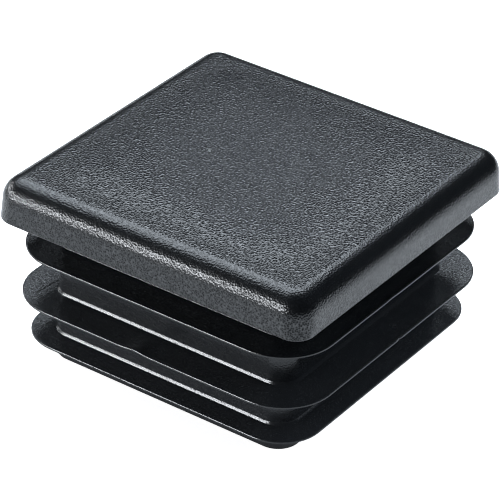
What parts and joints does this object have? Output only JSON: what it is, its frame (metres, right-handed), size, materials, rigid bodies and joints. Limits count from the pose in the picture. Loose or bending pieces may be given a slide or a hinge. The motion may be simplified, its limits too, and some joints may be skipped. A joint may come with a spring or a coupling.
{
  "type": "tube end cap",
  "caption": "Square end cap of black plastic for a square tube: a plate with a rolled edge over a hollow core with thin gripping fins.",
  "frame": {"origin": "middle of the rim of the core's open end, on which the cap stands", "axes": "+Z from the open end to the head; X and Y square to the sides, -Y towards the side that the picture shows best"},
  "size_m": [0.04, 0.04, 0.0227],
  "materials": {
    "black_plastic": "fine matte grain, as moulded"
  },
  "bodies": {
    "root": {"tube_end_cap": "black_plastic"}
  },
  "joints": []
}
